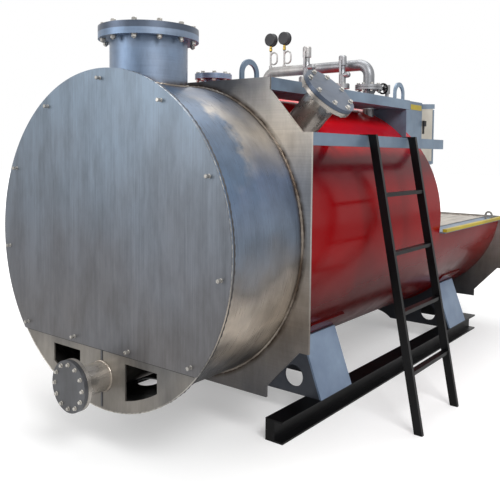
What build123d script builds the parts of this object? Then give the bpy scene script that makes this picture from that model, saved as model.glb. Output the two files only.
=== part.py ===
"""Horizontal fire-tube boiler: rear smoke drum, clad shell, platform, saddles, ladder and fittings."""
import math
import os

from build123d import *

# Main sizes in millimetres; "along" runs from the rear cover to the front, "up" is from the drum's axis
drum_over = 2.0
drum_wall = 6.0
shell_r = 756.0
shell_wall = 6.0
cover_lip = 42.0
cover_thick = 8.0
ring_width = 58.0
frame_plate_at = 558.0
frame_plate_thick = 12.0
shell_end = 2220.0
front_end = 3500.0
end_plate_thick = 12.0
fit_gap = 0.3

# Rear cover and the open compartment under the smoke box
seam_rise = 288.0
seam_overlap = 22.0
cutout_drop = 38.0
cutout_inner = 164.0
cutout_outer = 374.0
cutout_edge = 16.0
roof_rise = 16.0
roof_thick = 6.0
ash_hole_r = 55.0
ash_hole_along = 300.0

# Frame plates, eight-sided, with stepped corners
plate_margin = 44.0
plate_step_width = 54.0
plate_corner = 245.0
plate_side_drop = 283.0
plate_lip = 55.0
plate_foot_margin = 20.0
plate_crown = 26.0

# Walkway on top: edge channels, treads, end frame
channel_height = 60.0
channel_flange = 60.0
channel_wall = 5.0
channel_short = 97.0
tread_thick = 5.0
tread_inner = 230.0
tread_clear = 15.0
end_beam_width = 50.0
side_rail_drop = 1.0
side_rail_height = 60.0
side_rail_depth = 40.0
side_rail_short = 7.0
bracket_thick = 8.0

# Front platform
platform_up = -98.0
platform_thick = 8.0
platform_inset = 12.0
edge_height = 20.0
edge_width = 30.0
plank_thick = 3.0
tread_rib_count = 14
tread_rib_width = 12.0
tread_rib_height = 4.0
tread_margin = 160.0

eye_back = 156.0
eye_y = 710.0
eye_width = 66.0
eye_height = 66.0
eye_band = 16.0
eye_thick = 12.0

# Columns and control cabinet
column_inset = 77.0
column_rise = 12.0
column_depth = 120.0
column_length = 280.0
column_wall = 5.0
cabinet_depth = 192.0
cabinet_width = 400.0
cabinet_low = 348.0
cabinet_high = 753.0
cabinet_wall = 3.0
hood_thick = 35.0
hood_over = 2.0
hood_slope = 0.066
door_thick = 25.0
door_gap = 5.0
door_skin = 2.0
hinge_pin_r = 5.0
hinge_clear = 0.5
hinge_knuckle_r = 9.0
hinge_offset = 14.0
hinge_height = 50.0
hinge_leaf = 30.0
hinge_leaf_thick = 3.0

# Base rails and saddles
rail_inner = 542.0
rail_width = 105.0
rail_height = 113.0
rail_web = 8.0
rail_flange = 10.0
rail_rear_gap = 5.0
rail_front_short = 225.0
saddle_rear_back = 356.0
saddle_front_back = 768.0
saddle_clear = 131.0
saddle_length = 320.0
saddle_plate = 12.0
saddle_foot = 634.0
saddle_slope = 0.374
pad_thick = 10.0
pad_half_angle = 50.0
web_hole_r = 60.0
web_hole_y = 465.0
web_hole_rise = 97.0
web_arch_half = 150.0
web_arch_rise = 55.0

# Ladder
ladder_left = 1095.0
ladder_right = 1578.0
ladder_foot = 1126.0
ladder_stand_off = 28.0
stile_width = 45.0
stile_depth = 22.0
rung_pitch = 302.0
rung_depth = 34.0
rung_height = 20.0
rung_count = 4
hook_plate = 5.0
hook_drop = 28.0

# Flue and nozzles
flue_along = 300.0
flue_r = 190.0
flue_wall = 5.0
flue_flange_r = 245.0
flue_flange_thick = 30.0
flue_rise = 203.0
flue_pcd = 445.0
flue_holes = 12
flue_hole_r = 11.0
drain_inset = 118.0
drain_r = 69.85
drain_wall = 4.0
drain_flange_r = 119.0
drain_flange_thick = 18.0
drain_face = -178.0
drain_pcd = 200.0
drain_holes = 12
drain_hole_r = 7.0
gasket = 2.0
side_along = 806.0
side_angle = 45.5
side_r = 84.15
side_wall = 6.0
side_flange_r = 148.0
side_flange_thick = 20.0
side_rise = 288.0
side_pcd = 252.0
side_holes = 8
side_hole_r = 11.0
side_turn = 8.0
hatch_along = 775.0
hatch_r = 66.0
hatch_wall = 5.0
hatch_flange_r = 102.0
hatch_flange_thick = 14.0
hatch_rise = 66.0
hatch_pcd = 170.0
hatch_holes = 8
hatch_hole_r = 9.0

# Steam line, safety valves, gauges, stop valve
steam_back = 123.0
steam_y = 309.0
steam_far = 560.0
steam_r = 38.05
steam_wall = 3.2
steam_bend = 76.0
steam_leg = 173.0
steam_flange_r = 92.5
steam_flange_thick = 16.0
steam_rise = 98.0
steam_end_leg = 193.0
steam_pcd = 145.0
steam_holes = 8
steam_hole_r = 9.0
boss_r = 12.0
boss_rise = 48.0
valve_y = 160.0
valve_rear_back = 658.0
valve_front_back = 223.0
valve_rise = 106.0
valve_stub_r = 22.0
valve_flange_r = 50.0
valve_flange_thick = 16.0
valve_body_r = 24.0
valve_waist_r = 18.0
valve_cap_r = 27.0
valve_cap_round = 12.0
valve_shoulder = 24.0
valve_collar = 31.0
valve_cap_height = 67.0
outlet_rise = 61.0
outlet_to_shoulder = 10.0
outlet_r = 20.0
outlet_reach = 61.0
lever_thick = 4.0
lever_width = 14.0
lever_gap = 3.0
gauge_r = 47.0
gauge_thick = 40.0
gauge_neck_length = 42.0
gauge_rear_y = 528.0
gauge_front_y = 402.0
gauge_round = 6.0
gauge_rim = 5.0
gauge_rim_over = 3.0
gauge_neck_r = 9.0
neck_clear = 2.0
stem_r = 7.0
siphon_tube_r = 6.0
siphon_r = 30.0
siphon_straight = 28.0
siphon_clear = 3.0
stop_back = 15.0
stop_y = 362.0
stop_rise = 115.0
stop_pipe_r = 13.0
stop_body_r = 22.0
stop_body_half = 30.0
stop_reach = 60.0
bonnet_r = 14.0
bonnet_gap = 10.0
wheel_r = 33.0
wheel_rim_r = 6.0
wheel_hub_r = 12.0
wheel_hub_half = 6.0
wheel_spokes = 5
spoke_r = 4.0
spindle_r = 4.0
spindle_end = 3.0

# Lifting lugs
lug_width = 148.0
lug_band = 28.0
lug_thick = 12.0
lug_rear_gap = 21.0
lug_rear_y = 345.0
lug_front_back = 188.0
lug_front_far_back = 397.0
lug_front_y = 530.0
lug_rise = 111.0

# Places that follow from the sizes above
drum_r = shell_r + drum_over
cover_r = drum_r + cover_lip
ring_inner_r = drum_r - ring_width
seam_up = seam_rise - cover_r
lower_top_up = seam_up + seam_overlap
cutout_top_up = seam_up - cutout_drop
cutout_r = drum_r - cutout_edge
roof_up = seam_up + roof_rise
plate_half = drum_r + plate_margin
plate_step = plate_half - plate_step_width
plate_shoulder = plate_half - plate_corner
plate_side_up = plate_half - plate_side_drop
plate_foot = drum_r + plate_foot_margin
plate_top_up = drum_r + plate_crown
side_rail_top = plate_side_up - side_rail_drop
column_face = plate_shoulder - column_inset
drain_up = drain_inset - drum_r
flue_flange_up = drum_r + flue_rise
side_face = shell_r + side_rise
hatch_flange_up = shell_r + hatch_rise
steam_flange_up = shell_r + steam_rise
steam_up = steam_flange_up + steam_leg
steam_end_up = steam_up - steam_end_leg
boss_up = steam_up + boss_rise
valve_base_up = shell_r + valve_rise
siphon_up = boss_up + siphon_clear + siphon_tube_r + siphon_r + siphon_straight / 2
gauge_neck_low = siphon_up + siphon_straight / 2 + siphon_r + siphon_tube_r + neck_clear
gauge_up = gauge_neck_low + gauge_neck_length + gauge_r
stop_up = shell_r + stop_rise
lug_top = plate_top_up + lug_rise
column_top_up = plate_top_up + column_rise
axis_height = rail_height + saddle_clear + shell_r
rear_x = -(front_end + drain_face) / 2
axis_y = (ladder_foot + stile_width / 2 - plate_half) / 2
shell_start = frame_plate_at + frame_plate_thick
channel_end = shell_end - channel_short
side_rail_end = channel_end - side_rail_short
steam_along = channel_end - steam_back
stop_along = channel_end - stop_back
rail_start = shell_start + rail_rear_gap
rail_end = front_end - rail_front_short
rail_top = rail_height - axis_height
saddle_rear_start = shell_start + saddle_rear_back
saddle_front_start = front_end - saddle_front_back
lug_rear_at = shell_start + lug_rear_gap
ladder_rail_y = plate_half + ladder_stand_off
ladder_slope = (ladder_foot - ladder_rail_y) / (side_rail_top + axis_height)

os.makedirs("parts", exist_ok=True)


def spot(along, across, up):
    """A point given from the rear cover, the boiler's middle plane and the drum's axis."""
    return (rear_x + along, axis_y + across, axis_height + up)


def cross(along):
    """Plane across the boiler: its x is to the far side, its y is up, its normal points to the front."""
    return Plane(origin=spot(along, 0, 0), x_dir=(0, 1, 0), z_dir=(1, 0, 0))


def level(along, across, up):
    """Level plane at a point, x along the boiler."""
    return Plane(origin=spot(along, across, up), x_dir=(1, 0, 0), z_dir=(0, 0, 1))


def side(across):
    """Upright plane along the boiler: its x is along, its y is up, its normal points to the ladder side."""
    return Plane(origin=spot(0, across, 0), x_dir=(1, 0, 0), z_dir=(0, -1, 0))


def save(piece, name):
    """Label a finished piece and write it."""
    piece.part.label = name
    export_step(piece.part, f"parts/{name}.step")


# Rear drum, ring and covers
with BuildPart() as drum_shell:
    with BuildSketch(cross(2 * cover_thick)):
        Circle(drum_r)
        Circle(drum_r - drum_wall, mode=Mode.SUBTRACT)
    extrude(amount=frame_plate_at - 2 * cover_thick)
    with BuildSketch(level(flue_along, 0, 0)):
        Circle(flue_r)
    extrude(amount=cover_r, mode=Mode.SUBTRACT)
    with BuildSketch(level(ash_hole_along, 0, 0)):
        Circle(ash_hole_r)
    extrude(amount=-cover_r, mode=Mode.SUBTRACT)
save(drum_shell, "drum_shell")

with BuildPart() as drum_ring:
    with BuildSketch(cross(cover_thick)):
        Circle(cover_r)
        Circle(ring_inner_r, mode=Mode.SUBTRACT)
        split(bisect_by=Plane.XZ.offset(-lower_top_up), keep=Keep.BOTTOM)
    extrude(amount=cover_thick)
save(drum_ring, "drum_ring")

with BuildPart() as upper_cover:
    with BuildSketch(cross(0)):
        Circle(cover_r)
        split(bisect_by=Plane.XZ.offset(-seam_up), keep=Keep.BOTTOM)
    extrude(amount=cover_thick)
save(upper_cover, "upper_cover")

with BuildPart() as lower_cover:
    with BuildSketch(cross(cover_thick)):
        Circle(cover_r)
        split(bisect_by=Plane.XZ.offset(-lower_top_up), keep=Keep.TOP)
        with Locations((0, drain_up)):
            Circle(drain_r, mode=Mode.SUBTRACT)
    extrude(amount=cover_thick)
    with BuildSketch(cross(0)):
        Circle(cutout_r)
        with Locations((-(cutout_inner + cutout_outer) / 2, cutout_top_up - cutout_r / 2),
                       ((cutout_inner + cutout_outer) / 2, cutout_top_up - cutout_r / 2)):
            Rectangle(cutout_outer - cutout_inner, cutout_r, mode=Mode.INTERSECT)
    extrude(amount=3 * cover_thick, mode=Mode.SUBTRACT)
save(lower_cover, "lower_cover")

with BuildPart() as compartment_roof:
    roof_half = math.sqrt((drum_r - drum_wall - fit_gap) ** 2 - roof_up ** 2)
    with BuildSketch(cross(2 * cover_thick)):
        with Locations((0, roof_up + roof_thick / 2)):
            Rectangle(2 * roof_half, roof_thick)
        Circle(drum_r - drum_wall - fit_gap, mode=Mode.INTERSECT)
    extrude(amount=frame_plate_at - 2 * cover_thick)
save(compartment_roof, "compartment_roof")


# Frame plates
def plate_outline(top):
    """Outline of a frame plate from its foot to a given top, as points on the far side, then mirrored."""
    right = [(plate_shoulder, -plate_foot), (plate_shoulder, plate_lip - plate_foot)]
    right += [(plate_step, -plate_side_up), (plate_half, -plate_side_up)]
    if top > plate_side_up:
        right += [(plate_half, plate_side_up), (plate_step, plate_side_up),
                  (plate_shoulder, plate_top_up - channel_height)]
        right += [(plate_shoulder, top)]
    else:
        right += [(plate_half, top)]
    return right + [(-y, z) for y, z in reversed(right)]


with BuildPart() as rear_frame_plate:
    with BuildSketch(cross(frame_plate_at)):
        with BuildLine():
            Polyline(*plate_outline(plate_top_up), close=True)
        make_face()
    extrude(amount=frame_plate_thick)
save(rear_frame_plate, "rear_frame_plate")

with BuildPart() as front_frame_plate:
    with BuildSketch(cross(front_end - frame_plate_thick)):
        with BuildLine():
            Polyline(*plate_outline(platform_up + edge_height), close=True)
        make_face()
    extrude(amount=frame_plate_thick)
save(front_frame_plate, "front_frame_plate")

# Clad shell, its front end plate and the half shell under the platform
with BuildPart() as shell_cladding:
    with BuildSketch(cross(shell_start)):
        Circle(shell_r)
        Circle(shell_r - shell_wall, mode=Mode.SUBTRACT)
    extrude(amount=shell_end - shell_start)
save(shell_cladding, "shell_cladding")

with BuildPart() as shell_end_plate:
    with BuildSketch(cross(shell_end - end_plate_thick)):
        Circle(shell_r - shell_wall)
    extrude(amount=end_plate_thick)
save(shell_end_plate, "shell_end_plate")

with BuildPart() as half_shell:
    with BuildSketch(cross(shell_end)):
        Circle(shell_r)
        Circle(shell_r - shell_wall, mode=Mode.SUBTRACT)
        split(bisect_by=Plane.XZ.offset(-(platform_up - platform_thick)), keep=Keep.TOP)
    extrude(amount=front_end - frame_plate_thick - shell_end)
save(half_shell, "half_shell")

# Platform: flat deck, ribbed planks on it and a raised strip along each side
platform_length = front_end - frame_plate_thick - shell_end
rib_span = 2 * (plate_half - edge_width - tread_margin)
with BuildPart() as platform_deck:
    with BuildSketch(cross(shell_end)):
        with Locations((0, platform_up - platform_thick / 2)):
            Rectangle(2 * (plate_half - platform_inset), platform_thick)
    extrude(amount=platform_length)
save(platform_deck, "platform_deck")

with BuildPart() as platform_planks:
    with BuildSketch(cross(shell_end)):
        with Locations((0, platform_up + plank_thick / 2)):
            Rectangle(rib_span + tread_rib_width, plank_thick)
        with Locations((0, platform_up + plank_thick)):
            with GridLocations(rib_span / (tread_rib_count - 1), 0, tread_rib_count, 1):
                Trapezoid(2 * tread_rib_width, tread_rib_height, 60, align=(Align.CENTER, Align.MIN))
    extrude(amount=platform_length)
save(platform_planks, "platform_planks")

with BuildPart() as platform_edges:
    with BuildSketch(cross(shell_end)):
        with Locations((0, platform_up + edge_height / 2)):
            with GridLocations(2 * plate_half - edge_width, 0, 2, 1):
                Rectangle(edge_width, edge_height)
    extrude(amount=platform_length)
save(platform_edges, "platform_edges")

# Small lifting eye on the platform, near its front edge on the ladder side
eye_centre_up = platform_up + eye_height - eye_width / 2
with BuildPart() as platform_eye:
    with BuildSketch(cross(front_end - eye_back)):
        with Locations((-eye_y, eye_centre_up)):
            Circle(eye_width / 2)
        with Locations((-eye_y, (platform_up + eye_centre_up) / 2)):
            Rectangle(eye_width, eye_centre_up - platform_up)
            Rectangle(eye_width - 2 * eye_band, eye_centre_up - platform_up, mode=Mode.SUBTRACT)
        with Locations((-eye_y, eye_centre_up)):
            Circle(eye_width / 2 - eye_band, mode=Mode.SUBTRACT)
    extrude(amount=eye_thick)
save(platform_eye, "platform_eye")

# Walkway channels, treads and end beams
tread_up = plate_top_up - channel_height + channel_wall
tread_outer = plate_shoulder - channel_wall
tread_end = channel_end - end_beam_width
with BuildPart() as walkway_channels:
    with BuildSketch(cross(shell_start)):
        for hand in (-1, 1):
            with Locations((hand * (plate_shoulder - channel_flange / 2),
                            plate_top_up - channel_height / 2)):
                Rectangle(channel_flange, channel_height)
            with Locations((hand * (plate_shoulder - channel_wall - channel_flange / 2),
                            plate_top_up - channel_height / 2)):
                Rectangle(channel_flange, channel_height - 2 * channel_wall, mode=Mode.SUBTRACT)
    extrude(amount=channel_end - shell_start)
save(walkway_channels, "walkway_channels")

with BuildPart() as walkway_treads:
    with BuildSketch(level(0, 0, tread_up)):
        for hand in (-1, 1):
            with Locations(((shell_start + tread_end) / 2, hand * (tread_outer + tread_inner) / 2)):
                Rectangle(tread_end - shell_start, tread_outer - tread_inner)
            with Locations((lug_rear_at + lug_width / 2, hand * lug_rear_y)):
                Rectangle(lug_width + 2 * tread_clear, lug_thick + 2 * tread_clear, mode=Mode.SUBTRACT)
        with Locations((steam_along, -steam_y)):
            Circle(steam_r + tread_clear, mode=Mode.SUBTRACT)
    extrude(amount=tread_thick)
save(walkway_treads, "walkway_treads")

beam_height = channel_height - 2 * channel_wall
with BuildPart() as end_beams:
    with BuildSketch(level(0, 0, tread_up)):
        for hand in (-1, 1):
            with Locations((channel_end - end_beam_width / 2, hand * (tread_outer + tread_inner) / 2)):
                Rectangle(end_beam_width, tread_outer - tread_inner)
            with Locations(((channel_end + shell_end) / 2, hand * (column_face - column_depth / 4))):
                Rectangle(shell_end - channel_end, column_depth / 2)
    extrude(amount=beam_height)
    with BuildSketch(cross(tread_end)):
        for hand in (-1, 1):
            with Locations((hand * (plate_shoulder + tread_inner) / 2, (tread_up - channel_wall) / 2)):
                Rectangle(plate_shoulder - tread_inner, tread_up - channel_wall)
            with Locations((hand * (plate_shoulder - channel_flange + tread_inner) / 2, tread_up / 2)):
                Rectangle(plate_shoulder - channel_flange - tread_inner, tread_up)
        Circle(shell_r + fit_gap, mode=Mode.SUBTRACT)
    extrude(amount=tread_thick)
save(end_beams, "end_beams")

# Columns, open towards the middle
column_foot_up = platform_up + plank_thick + tread_rib_height
for name, hand in (("column_right", -1), ("column_left", 1)):
    column_middle = (shell_end + column_length / 2, hand * (column_face - column_depth / 2))
    with BuildPart() as column:
        with BuildSketch(level(*column_middle, column_foot_up)):
            Rectangle(column_length, column_depth)
            with Locations((0, -hand * column_wall)):
                Rectangle(column_length - 2 * column_wall, column_depth, mode=Mode.SUBTRACT)
        extrude(amount=column_top_up - column_foot_up)
        with BuildSketch(level(*column_middle, column_top_up - column_wall)):
            Rectangle(column_length, column_depth)
        extrude(amount=column_wall)
    save(column, name)

# Side rails: square tube with brackets down to the shell
for name, hand in (("side_rail_right", -1), ("side_rail_left", 1)):
    rail_y = hand * (plate_half - side_rail_depth / 2)
    with BuildPart() as side_rail:
        with BuildSketch(cross(shell_start)):
            with Locations((rail_y, side_rail_top - side_rail_height / 2)):
                Rectangle(side_rail_depth, side_rail_height)
        extrude(amount=side_rail_end - shell_start)
        rear_bracket_at = shell_start + 0.3 * (side_rail_end - shell_start)
        for bracket_at in (rear_bracket_at, side_rail_end - 2 * bracket_thick):
            with BuildSketch(cross(bracket_at)):
                bracket_inner = math.sqrt(shell_r ** 2 - side_rail_top ** 2)
                with Locations((hand * (bracket_inner + plate_half - side_rail_depth) / 2,
                                side_rail_top - side_rail_height / 2)):
                    Rectangle(plate_half - side_rail_depth - bracket_inner,
                              side_rail_height - 2 * bracket_thick)
                Circle(shell_r + fit_gap, mode=Mode.SUBTRACT)
            extrude(amount=bracket_thick)
    save(side_rail, name)

# Control cabinet on the ladder-side column, its door to the front
cabinet_back = shell_end + column_length
cabinet_front = cabinet_back + cabinet_depth
cabinet_side = -column_face
roof_front = cabinet_high + hood_slope * cabinet_depth
with BuildPart() as cabinet_body:
    with BuildSketch(side(cabinet_side)):
        with BuildLine():
            Polyline((cabinet_back, cabinet_low), (cabinet_front, cabinet_low), (cabinet_front, roof_front),
                     (cabinet_back, cabinet_high), close=True)
        make_face()
    extrude(amount=-cabinet_width)
    with BuildSketch(side(cabinet_side + cabinet_wall)):
        with BuildLine():
            Polyline((cabinet_back + cabinet_wall, cabinet_low + cabinet_wall),
                     (cabinet_front, cabinet_low + cabinet_wall), (cabinet_front, roof_front - cabinet_wall),
                     (cabinet_back + cabinet_wall, cabinet_high - cabinet_wall), close=True)
        make_face()
    extrude(amount=2 * cabinet_wall - cabinet_width, mode=Mode.SUBTRACT)
save(cabinet_body, "cabinet_body")

with BuildPart() as cabinet_hood:
    hood_front = cabinet_front + door_gap + door_thick + hood_over
    hood_rise = hood_slope * (hood_front - cabinet_back)
    with BuildSketch(side(cabinet_side - hood_over)):
        with BuildLine():
            Polyline((cabinet_back, cabinet_high), (hood_front, cabinet_high + hood_rise),
                     (hood_front, cabinet_high + hood_rise + hood_thick),
                     (cabinet_back, cabinet_high + hood_thick), close=True)
        make_face()
    extrude(amount=-cabinet_width - 2 * hood_over)
save(cabinet_hood, "cabinet_hood")

hinge_along = cabinet_front + door_gap + door_thick / 2
cabinet_far_side = cabinet_side + cabinet_width
hinge_y = cabinet_far_side + hinge_offset
hinge_levels = (cabinet_low + hinge_height, cabinet_high - 3 * hinge_height)
door_low = cabinet_low + door_gap
door_high = roof_front - door_gap
with BuildPart() as cabinet_door:
    with BuildSketch(level(hinge_along, cabinet_side + cabinet_width / 2, door_low)):
        Rectangle(door_thick, cabinet_width)
    extrude(amount=door_high - door_low)
    with BuildSketch(cross(cabinet_front + door_gap)):
        with Locations((cabinet_side + cabinet_width / 2, (door_low + door_high) / 2)):
            Rectangle(cabinet_width - 2 * door_skin, door_high - door_low - 2 * door_skin)
    extrude(amount=door_thick - door_skin, mode=Mode.SUBTRACT)
    for hinge_up in hinge_levels:
        with BuildSketch(level(hinge_along, hinge_y, hinge_up + hinge_height / 2)):
            Circle(hinge_knuckle_r)
            with Locations((0, -hinge_offset / 2)):
                Rectangle(2 * door_skin, hinge_offset)
            Circle(hinge_pin_r + hinge_clear, mode=Mode.SUBTRACT)
        extrude(amount=hinge_height / 2)
save(cabinet_door, "cabinet_door")

with BuildPart() as cabinet_hinges:
    for hinge_up in hinge_levels:
        with BuildSketch(level(cabinet_front, cabinet_far_side, hinge_up)):
            with Locations((-hinge_leaf / 2, hinge_leaf_thick / 2)):
                Rectangle(hinge_leaf, hinge_leaf_thick)
            with Locations(((hinge_along - cabinet_front) / 2, hinge_offset)):
                Rectangle(hinge_along - cabinet_front, hinge_leaf_thick)
            with Locations((-hinge_leaf_thick / 2, (hinge_offset + hinge_leaf_thick / 2) / 2)):
                Rectangle(hinge_leaf_thick, hinge_offset + hinge_leaf_thick / 2)
            with Locations((hinge_along - cabinet_front, hinge_offset)):
                Circle(hinge_knuckle_r)
        extrude(amount=hinge_height / 2 - hinge_clear)
        with BuildSketch(level(hinge_along, hinge_y, hinge_up)):
            Circle(hinge_pin_r)
        extrude(amount=hinge_height)
save(cabinet_hinges, "cabinet_hinges")

# Base rails, rolled I beams with a closing plate on the inner half of each end
for name, hand in (("base_rail_right", -1), ("base_rail_left", 1)):
    rail_middle = hand * (rail_inner + rail_width / 2)
    with BuildPart() as base_rail:
        with BuildSketch(cross(rail_start)):
            with Locations((rail_middle, rail_top - rail_height / 2)):
                Rectangle(rail_width, rail_height)
                with GridLocations(rail_width / 2 + rail_web / 2, 0, 2, 1):
                    Rectangle(rail_width / 2 - rail_web / 2, rail_height - 2 * rail_flange,
                              mode=Mode.SUBTRACT)
        extrude(amount=rail_end - rail_start)
        for plate_at in (rail_start, rail_end - rail_flange):
            with BuildSketch(cross(plate_at)):
                with Locations((rail_middle - hand * rail_width / 4, rail_top - rail_height / 2)):
                    Rectangle(rail_width / 2, rail_height)
            extrude(amount=rail_flange)
    save(base_rail, name)

# Saddles: pad under the shell, two webs and two splayed sides each
pad_r = shell_r + pad_thick
slope_a = 1 + saddle_slope ** 2
slope_b = saddle_slope * saddle_foot - rail_top
slope_c = saddle_foot ** 2 + rail_top ** 2 - (pad_r + fit_gap) ** 2
saddle_rise = (slope_b - math.sqrt(slope_b ** 2 - slope_a * slope_c)) / slope_a
shoulder_y = saddle_foot - saddle_slope * saddle_rise
shoulder_up = rail_top + saddle_rise
for saddle, saddle_at in (("rear", saddle_rear_start), ("front", saddle_front_start)):
    with BuildPart() as saddle_pad:
        with BuildSketch(cross(saddle_at - pad_thick)):
            with BuildLine():
                CenterArc((0, 0), pad_r, -90 - pad_half_angle, 2 * pad_half_angle)
                CenterArc((0, 0), shell_r + fit_gap, -90 - pad_half_angle, 2 * pad_half_angle)
                for angle in (-90 - pad_half_angle, -90 + pad_half_angle):
                    ray = Vector(math.cos(math.radians(angle)), math.sin(math.radians(angle)))
                    Line(ray * pad_r, ray * (shell_r + fit_gap))
            make_face()
        extrude(amount=saddle_length + 2 * pad_thick)
    save(saddle_pad, f"{saddle}_saddle_pad")

    with BuildPart() as saddle_webs:
        for web_at in (saddle_at, saddle_at + saddle_length - saddle_plate):
            with BuildSketch(cross(web_at)):
                with BuildLine():
                    Polyline((-shoulder_y, shoulder_up), (-saddle_foot, rail_top), (-web_arch_half, rail_top))
                    ThreePointArc((-web_arch_half, rail_top), (0, rail_top + web_arch_rise),
                                  (web_arch_half, rail_top))
                    Polyline((web_arch_half, rail_top), (saddle_foot, rail_top), (shoulder_y, shoulder_up),
                             (-shoulder_y, shoulder_up))
                make_face()
                Circle(pad_r + fit_gap, mode=Mode.SUBTRACT)
                with Locations((-web_hole_y, rail_top + web_hole_rise),
                               (web_hole_y, rail_top + web_hole_rise)):
                    Circle(web_hole_r, mode=Mode.SUBTRACT)
            extrude(amount=saddle_plate)
    save(saddle_webs, f"{saddle}_saddle_webs")

    with BuildPart() as saddle_sides:
        with BuildSketch(cross(saddle_at)):
            for hand in (-1, 1):
                with BuildLine():
                    Polyline((hand * saddle_foot, rail_top), (hand * shoulder_y, shoulder_up),
                             (hand * (shoulder_y + saddle_plate), shoulder_up),
                             (hand * (saddle_foot + saddle_plate), rail_top), close=True)
                make_face()
            Circle(pad_r + fit_gap, mode=Mode.SUBTRACT)
        extrude(amount=saddle_length)
    save(saddle_sides, f"{saddle}_saddle_sides")

# Ladder, hooked over the side rail
ladder_top = -ladder_rail_y
for name, stile_at in (("ladder_stile_left", ladder_left), ("ladder_stile_right", ladder_right)):
    with BuildPart() as ladder_stile:
        with BuildSketch(cross(stile_at - stile_depth / 2)):
            with BuildLine():
                Polyline((-ladder_foot - stile_width / 2, -axis_height),
                         (-ladder_foot + stile_width / 2, -axis_height),
                         (ladder_top + stile_width / 2, side_rail_top),
                         (ladder_top - stile_width / 2, side_rail_top), close=True)
            make_face()
        extrude(amount=stile_depth)
    save(ladder_stile, name)

with BuildPart() as ladder_rungs:
    for rung in range(1, rung_count + 1):
        rung_y = -ladder_foot + ladder_slope * rung * rung_pitch
        with BuildSketch(cross(ladder_left + stile_depth / 2)):
            with Locations((rung_y, rung * rung_pitch - axis_height)):
                Rectangle(rung_depth, rung_height)
        extrude(amount=ladder_right - ladder_left - stile_depth)
save(ladder_rungs, "ladder_rungs")

with BuildPart() as ladder_hooks:
    rail_back = -plate_half + side_rail_depth
    for stile_at in (ladder_left, ladder_right):
        with BuildSketch(cross(stile_at - stile_depth / 2)):
            with BuildLine():
                Polyline((ladder_top - stile_width / 2, side_rail_top),
                         (ladder_top - stile_width / 2, side_rail_top + hook_plate),
                         (rail_back + hook_plate, side_rail_top + hook_plate),
                         (rail_back + hook_plate, side_rail_top - hook_drop),
                         (rail_back, side_rail_top - hook_drop), (rail_back, side_rail_top), close=True)
            make_face()
        extrude(amount=stile_depth)
save(ladder_hooks, "ladder_hooks")

# Flue stub with its flange
with BuildPart() as flue_stub:
    with BuildSketch(level(flue_along, 0, 0)):
        Circle(flue_r)
    extrude(amount=flue_flange_up)
    with BuildSketch(level(flue_along, 0, flue_flange_up)):
        Circle(flue_flange_r)
        with PolarLocations(flue_pcd / 2, flue_holes):
            Circle(flue_hole_r, mode=Mode.SUBTRACT)
    extrude(amount=flue_flange_thick)
    with BuildSketch(level(flue_along, 0, 0)):
        Circle(flue_r - flue_wall)
    extrude(amount=flue_flange_up + flue_flange_thick, mode=Mode.SUBTRACT)
    with BuildSketch(cross(0)):
        Circle(drum_r - drum_wall)
    extrude(amount=frame_plate_at, mode=Mode.SUBTRACT)
save(flue_stub, "flue_stub")

with BuildPart() as flue_counter_flange:
    with BuildSketch(level(flue_along, 0, flue_flange_up + flue_flange_thick)):
        Circle(flue_flange_r)
        Circle(flue_r - flue_wall, mode=Mode.SUBTRACT)
        with PolarLocations(flue_pcd / 2, flue_holes):
            Circle(flue_hole_r, mode=Mode.SUBTRACT)
    extrude(amount=flue_flange_thick)
save(flue_counter_flange, "flue_counter_flange")

# Drain nozzle through the lower cover, with its blind flange
drain_flange_at = drain_face + drain_flange_thick + gasket
with BuildPart() as drain_nozzle:
    with BuildSketch(cross(drain_flange_at)):
        with Locations((0, drain_up)):
            Circle(drain_r)
    extrude(amount=frame_plate_at - drain_flange_at)
    with BuildSketch(cross(drain_flange_at)):
        with Locations((0, drain_up)):
            Circle(drain_flange_r)
            with PolarLocations(drain_pcd / 2, drain_holes):
                Circle(drain_hole_r, mode=Mode.SUBTRACT)
    extrude(amount=drain_flange_thick)
    with BuildSketch(cross(drain_flange_at)):
        with Locations((0, drain_up)):
            Circle(drain_r - drain_wall)
    extrude(amount=frame_plate_at - drain_flange_at, mode=Mode.SUBTRACT)
save(drain_nozzle, "drain_nozzle")

with BuildPart() as drain_blind:
    with BuildSketch(cross(drain_face)):
        with Locations((0, drain_up)):
            Circle(drain_flange_r)
            with PolarLocations(drain_pcd / 2, drain_holes):
                Circle(drain_hole_r, mode=Mode.SUBTRACT)
    extrude(amount=drain_flange_thick)
    with BuildSketch(cross(drain_flange_at - gasket)):
        with Locations((0, drain_up)):
            Circle(drain_pcd / 2 - 2 * drain_hole_r)
    extrude(amount=gasket)
save(drain_blind, "drain_blind")

# Slanted side nozzle on the shell, with its blind flange
slant = math.radians(side_angle)
side_out = (0, -math.sin(slant), math.cos(slant))
side_plane = Plane(origin=spot(side_along, 0, 0), x_dir=(1, 0, 0), z_dir=side_out)
side_blind_at = side_face - side_flange_thick
side_flange_at = side_blind_at - gasket - side_flange_thick
with BuildPart() as side_nozzle:
    with BuildSketch(side_plane):
        Circle(side_r)
    extrude(amount=side_flange_at)
    with BuildSketch(side_plane.offset(side_flange_at)):
        Circle(side_flange_r)
        with PolarLocations(side_pcd / 2, side_holes, side_turn):
            Circle(side_hole_r, mode=Mode.SUBTRACT)
    extrude(amount=side_flange_thick)
    with BuildSketch(side_plane):
        Circle(side_r - side_wall)
    extrude(amount=side_flange_at + side_flange_thick, mode=Mode.SUBTRACT)
    with BuildSketch(cross(shell_start)):
        Circle(shell_r)
    extrude(amount=shell_end - shell_start, mode=Mode.SUBTRACT)
save(side_nozzle, "side_nozzle")

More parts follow.
